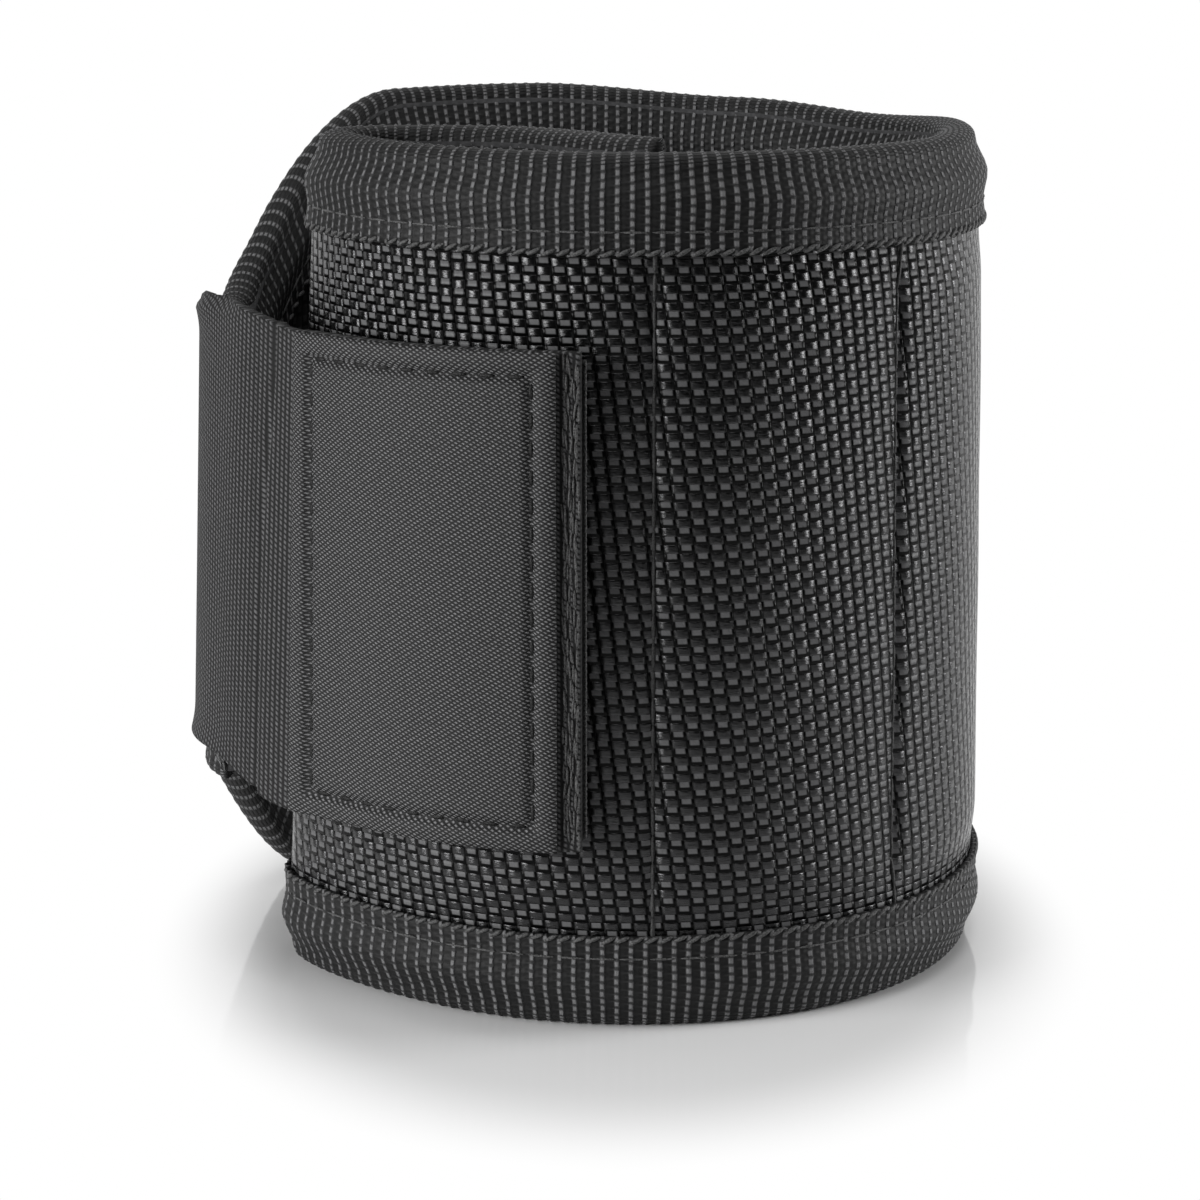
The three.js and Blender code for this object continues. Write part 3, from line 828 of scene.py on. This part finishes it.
def strap_point(way, offset, z):
    i = 0
    while i + 2 < len(strap_way) and strap_way[i + 1] < way:
        i += 1
    a, b = strap_line[i], strap_line[i + 1]
    share = (way - strap_way[i]) / (strap_way[i + 1] - strap_way[i])
    middle = a.lerp(b, share)
    before = strap_line[max(0, i - 1)]
    after = strap_line[min(len(strap_line) - 1, i + 2)]
    heading = (b - before).normalized().lerp((after - a).normalized(), share).normalized()
    height = (z - STRAP_LOW) / STRAP_WIDTH
    sewn = 1 - smooth(TIP_WAY, TIP_WAY + 0.006, way)
    free = (1 - sewn) * (1 - smooth(TAB_WAY - 0.004, TAB_WAY + TAB_FREE, way))
    lean = lerp(STRAP_LEAN_LOW, STRAP_LEAN_HIGH, height) * free
    rise = lerp(0.4, 1.0, smooth(0.0, TIP_WAY, way)) * STRAP_RISE_HIGH
    z += lerp(STRAP_RISE_LOW, rise, height) * (1 - smooth(TIP_WAY, TAB_WAY, way))
    s = TIP_END + min(0.0, way - TIP_WAY)
    sunk = 0.0010 * smooth(0.97, 1.0, height)
    offset += (tip_lean(s, z) - sunk) * sewn
    return Vector((middle.x + offset * heading.y + lean, middle.y - offset * heading.x, z))


def strap_cloth(start, end, low, high, step, offset):
    cut = flat_cloth(start, end, lambda s: low, lambda s: high, step)
    for vert in cut.verts:
        way, z, lift = vert.co
        vert.co = strap_point(way, offset(way, z) + lift, z)
    return cut


def webbing_shape(way, z):
    """The webbing is doubled beside the label, with a crease along the fold."""
    fold = TAB_WAY - RIDGE_WIDTH + 0.0013 * smooth(0.045, 0.068, z)
    ridge = smooth(fold, fold + 0.0008, way) * (1 - smooth(TAB_WAY, TAB_WAY + 0.001, way))
    crease = math.exp(-(((way - fold) / 0.0004) ** 2))
    return WEBBING / 2 + RIDGE_HEIGHT * ridge - CREASE_DEPTH * crease


# Ribbed weave: rows of beads of yarn in each rib, each row a little out of step with the next.
beads, beads_in, beads_out = blank_group("rib_beads", ["Rib Pitch", "Bead Pitch"], ["Height", "Tone"])
place = wobbled(beads, beads_in["Flat"], 700, 0.00007)
ribs = figure(beads, "ADD", figure(beads, "DIVIDE", place["X"], beads_in["Rib Pitch"]), FAR_CELLS + 0.5)
side = figure(beads, "SUBTRACT", figure(beads, "FRACT", ribs), 0.5)
slant = figure(beads, "MULTIPLY", side, 0.45)
drift = figure(beads, "MULTIPLY_ADD", figure(beads, "FLOOR", ribs), OUT_OF_STEP, slant)
rows = figure(beads, "ADD", figure(beads, "DIVIDE", place["Y"], beads_in["Bead Pitch"]), drift)
run = figure(beads, "SUBTRACT", figure(beads, "FRACT", rows), 0.5)
bead = figure(beads, "MULTIPLY", edge_fade(beads, side, 0.42, 0.05), edge_fade(beads, run, 0.48, 0.12))
lint = beads.nodes.new("ShaderNodeTexNoise")
lint.inputs["Scale"].default_value = 2200
lint.inputs["Detail"].default_value = 3
beads.links.new(beads_in["Flat"], lint.inputs["Vector"])
beads.links.new(bead, beads_out["Height"])
worn = figure(beads, "MULTIPLY", bead, figure(beads, "MULTIPLY_ADD", lint.outputs["Fac"], 1.8, 0.1))
beads.links.new(worn, beads_out["Tone"])

elastic = cloth_material(
    "elastic_webbing",
    beads,
    {"Rib Pitch": 0.00066, "Bead Pitch": 0.00056},
    roughness=0.75,
    relief=0.00012,
    dark=0.008,
    light=0.115,
)
STRAP_PART = lerp(TIP_WAY, TAB_WAY, 0.55)
PIECES = {"strap_webbing": (0.0, STRAP_PART), "tab_band": (STRAP_PART, TAB_END_WAY)}
for name, (start, end) in PIECES.items():
    cut = strap_cloth(start, end, STRAP_LOW, STRAP_HIGH, 0.0005, webbing_shape)
    webbing = sewn_piece(name, cut, elastic, WEBBING)
    if name == "strap_webbing":
        turn, way, bodies = leaving, leaving_way, ("back", "strap")
        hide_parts("strap_anchor", "strap_elastic")
    else:
        turn, way, bodies = arriving, tab_way, ("strap", "tab")
        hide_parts("tab_webbing")
    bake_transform(webbing)

# Hook patch: moulded nylon hooks on a woven tape.
# It is sewn under the tab, and one long edge shows beside the label.
HOOK_OUT = -0.0008
HOOK_INSET = 0.001
HOOK_START, HOOK_END = TAB_WAY + TAB_FREE, TAB_END_WAY + 0.0003
HOOK_LOW, HOOK_HIGH = STRAP_LOW + HOOK_INSET, STRAP_HIGH - HOOK_INSET
cut = strap_cloth(HOOK_START, HOOK_END, HOOK_LOW, HOOK_HIGH, 0.001, lambda way, z: HOOK_OUT)
hook_tape = cloth_material(
    "hook_tape",
    weave,
    {"Cell Width": 0.0005, "Cell Height": 0.0005},
    roughness=0.5,
    relief=0.0002,
    dark=0.008,
    light=0.04,
)
hooks = sewn_piece("hook_tape_patch", cut, hook_tape, 0.001)
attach(hooks, "tab")
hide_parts("hook_patch")

# Cut edges at the tab's end: the hook tape's pale selvedge of looped yarn,
# and the polyester ends of the webbing's own yarns, which lie loose on it.
EDGE_LOOP = 0.0006
SELVEDGE_THREAD = 0.00016
selvedge = bmesh.new()
for i in range(round((HOOK_HIGH - HOOK_LOW) / EDGE_LOOP)):
    z = HOOK_LOW + i * EDGE_LOOP
    stray = 0.00015 * noise.noise(Vector((0.7 * i, 0, 0)))
    loop_start = strap_point(HOOK_END + stray, HOOK_OUT, z)
    loop_end = strap_point(HOOK_END - stray, HOOK_OUT, z + 1.2 * EDGE_LOOP)
    thread_oval(selvedge, loop_start, loop_end, SELVEDGE_THREAD)
hook_selvedge = sewn_piece("hook_selvedge", selvedge, grey_thread)
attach(hook_selvedge, "tab")

FRINGE_LENGTH = 0.0019
FRINGE_THREAD = 0.00014
fringe = bmesh.new()
for row in range(5):
    for i in range(round(STRAP_WIDTH / FRINGE_LENGTH)):
        stray = noise.noise_vector(Vector((1.7 * row, 0.83 * i, 0.5)))
        way = TAB_END_WAY - 0.0003 - 0.00033 * row + 0.0003 * stray.x
        z = STRAP_LOW + 0.0002 + (i + 0.2 * row % 1) * FRINGE_LENGTH * 0.98
        out = WEBBING / 2 + 0.00005 + 0.0002 * stray.y
        yarn_start = strap_point(way, out, z)
        yarn_end = strap_point(way + 0.0004 * stray.z, out, min(STRAP_HIGH, z + FRINGE_LENGTH))
        thread_oval(fringe, yarn_start, yarn_end, FRINGE_THREAD)
tab_fringe = sewn_piece("tab_fringe", fringe, grey_thread)
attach(tab_fringe, "tab")

# Label: a patch of fine polyester twill, left bare.
# Its edges are turned under, and it is sewn on the tab with one seam all round.
LABEL_IN = 0.0008
LABEL_THICKNESS = 0.0006
LABEL_MARGIN = 0.0022
HEM_WIDTH = 0.0025
HEM_PUFF = 0.00025
SEAM_GROOVE = 0.0006
GROOVE_WIDTH = 0.0004
label_start, label_end = TAB_WAY, TAB_END_WAY - LABEL_MARGIN


def label_shape(way, z):
    edge = min(way - label_start, label_end - way, z - STRAP_LOW, STRAP_HIGH - z)
    puff = smooth(-0.0002, 0.0008, edge) * (1 - smooth(HEM_WIDTH - 0.0008, HEM_WIDTH, edge))
    groove = math.exp(-(((edge - HEM_WIDTH) / GROOVE_WIDTH) ** 2))
    return LABEL_IN + LABEL_THICKNESS + HEM_PUFF * puff - SEAM_GROOVE * groove


label_twill = cloth_material(
    "label_twill",
    beads,
    {"Rib Pitch": 0.00034, "Bead Pitch": 0.0005},
    roughness=0.62,
    relief=0.00012,
    dark=0.006,
    light=0.2,
    turn=math.radians(-63),
)
cut = strap_cloth(label_start, label_end, STRAP_LOW, STRAP_HIGH, 0.0004, label_shape)
label = sewn_piece("bare_label", cut, label_twill, LABEL_THICKNESS)
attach(label, "tab")
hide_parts("label_patch")

# Label seam: black polyester thread in lockstitches.
# It runs all round the hem and is drawn down into the cloth.
LABEL_THREAD = 0.00033
label_corners = [
    (label_start + HEM_WIDTH, STRAP_LOW + HEM_WIDTH),
    (label_end - HEM_WIDTH, STRAP_LOW + HEM_WIDTH),
    (label_end - HEM_WIDTH, STRAP_HIGH - HEM_WIDTH),
    (label_start + HEM_WIDTH, STRAP_HIGH - HEM_WIDTH),
]


def label_point(flat):
    return strap_point(flat.x, label_shape(*flat) - 0.00001, flat.y)


seam = bmesh.new()
for first, second in zip(label_corners, label_corners[1:] + label_corners[:1]):
    a, b = Vector(first), Vector(second)
    length = (b - a).length
    stitch_row(seam, lambda way: label_point(a.lerp(b, way / length)), 0, length, LABEL_THREAD, 0.62)
label_seam = sewn_piece("label_seam", seam, black_thread)
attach(label_seam, "tab")

# Floor and light: a plain white table that keeps the band's shadow, and three soft studio boxes.
# Away from the band the table fades into the white of the room.
TABLE_RADIUS = 0.17
SHADOW_NEAR = 0.052
SHADOW_FAR = 0.074
floor_cut = bmesh.new()
bmesh.ops.create_circle(floor_cut, cap_ends=True, segments=96, radius=TABLE_RADIUS)
white = bpy.data.materials.new("white_table")
white.use_nodes = True
table = white.node_tree
table_skin = table.nodes["Principled BSDF"]
table_skin.inputs["Base Color"].default_value = (0.95, 0.95, 0.95, 1)
table_skin.inputs["Roughness"].default_value = 0.08
table_glow = table.nodes.new("ShaderNodeEmission")
table_place = table.nodes.new("ShaderNodeTexCoord")
table_wide = table.nodes.new("ShaderNodeVectorMath")
table_wide.operation = "MULTIPLY_ADD"
table_wide.inputs[1].default_value = (1.42, 1, 0)
table_wide.inputs[2].default_value = (-0.0045, 0, 0)
table.links.new(table_place.outputs["Object"], table_wide.inputs[0])
table_far = table.nodes.new("ShaderNodeVectorMath")
table_far.operation = "LENGTH"
table.links.new(table_wide.outputs["Vector"], table_far.inputs[0])
table_fade = table.nodes.new("ShaderNodeMapRange")
table_fade.interpolation_type = "SMOOTHSTEP"
table_fade.inputs["From Min"].default_value = SHADOW_NEAR
table_fade.inputs["From Max"].default_value = SHADOW_FAR
table.links.new(table_far.outputs["Value"], table_fade.inputs["Value"])
table_light = table.nodes.new("ShaderNodeLightPath")
table_rays = table_light.outputs
table_seen = figure(table, "MAXIMUM", table_rays["Is Camera Ray"], table_rays["Is Glossy Ray"])
table_seen = figure(table, "MAXIMUM", table_seen, table_rays["Is Transmission Ray"])
table_mix = table.nodes.new("ShaderNodeMixShader")
table_white = figure(table, "MULTIPLY", table_seen, table_fade.outputs["Result"])
table.links.new(table_white, table_mix.inputs["Fac"])
table.links.new(table_skin.outputs["BSDF"], table_mix.inputs[1])
table.links.new(table_glow.outputs["Emission"], table_mix.inputs[2])
table.links.new(table_mix.outputs["Shader"], table.nodes["Material Output"].inputs["Surface"])
floor = sewn_piece("floor", floor_cut, white)

world = bpy.data.worlds.new("studio")
bpy.context.scene.world = world
world.use_nodes = True
studio = world.node_tree
sky = studio.nodes["Background"]
sky.inputs["Color"].default_value = (1, 1, 1, 1)
sky_light = studio.nodes.new("ShaderNodeLightPath")
sky_place = studio.nodes.new("ShaderNodeTexCoord")
sky_way = studio.nodes.new("ShaderNodeSeparateXYZ")
studio.links.new(sky_place.outputs["Generated"], sky_way.inputs["Vector"])
behind = studio.nodes.new("ShaderNodeMapRange")
behind.inputs["From Min"].default_value = 0.3
behind.inputs["From Max"].default_value = 0.7
studio.links.new(sky_way.outputs["Y"], behind.inputs["Value"])
sky_rays = sky_light.outputs
sky_mirror = figure(studio, "MAXIMUM", sky_rays["Is Glossy Ray"], sky_rays["Is Transmission Ray"])
sky_mirror = figure(studio, "MULTIPLY", sky_mirror, behind.outputs["Result"])
sky_seen = figure(studio, "MAXIMUM", sky_rays["Is Camera Ray"], sky_mirror)
studio.links.new(figure(studio, "MAXIMUM", sky_seen, 0.05), sky.inputs["Strength"])


def softbox(name, place, target, size, watts):
    lamp = bpy.data.lights.new(name, "AREA")
    lamp.shape = "RECTANGLE"
    lamp.size, lamp.size_y = size
    lamp.energy = watts
    box = bpy.data.objects.new(name, lamp)
    box.location = place
    box.rotation_euler = (Vector(target) - Vector(place)).to_track_quat("-Z", "Y").to_euler()
    bpy.context.scene.collection.objects.link(box)


softbox("left_box", (-0.5, -0.31, 0.14), (0, 0, 0.045), (0.36, 0.24), 4.2)
softbox("right_box", (0.55, 0.05, 0.12), (0, 0, 0.045), (0.2, 0.24), 2.4)
softbox("top_box", (0.0, -0.1, 0.6), (0, 0, 0.04), (0.4, 0.4), 1.4)

# Camera: a long lens a little above the upper edge, looking down on the front.
camera = bpy.data.cameras.new("camera")
camera.lens = 99.75
camera.sensor_width = 36
eye = bpy.data.objects.new("camera", camera)
eye.location = (0.000921, -0.356857, 0.115224)
eye.rotation_euler = (math.pi / 2 - 0.216, 0, 0)
bpy.context.scene.collection.objects.link(eye)
bpy.context.scene.camera = eye
bpy.context.scene.view_settings.view_transform = "Standard"
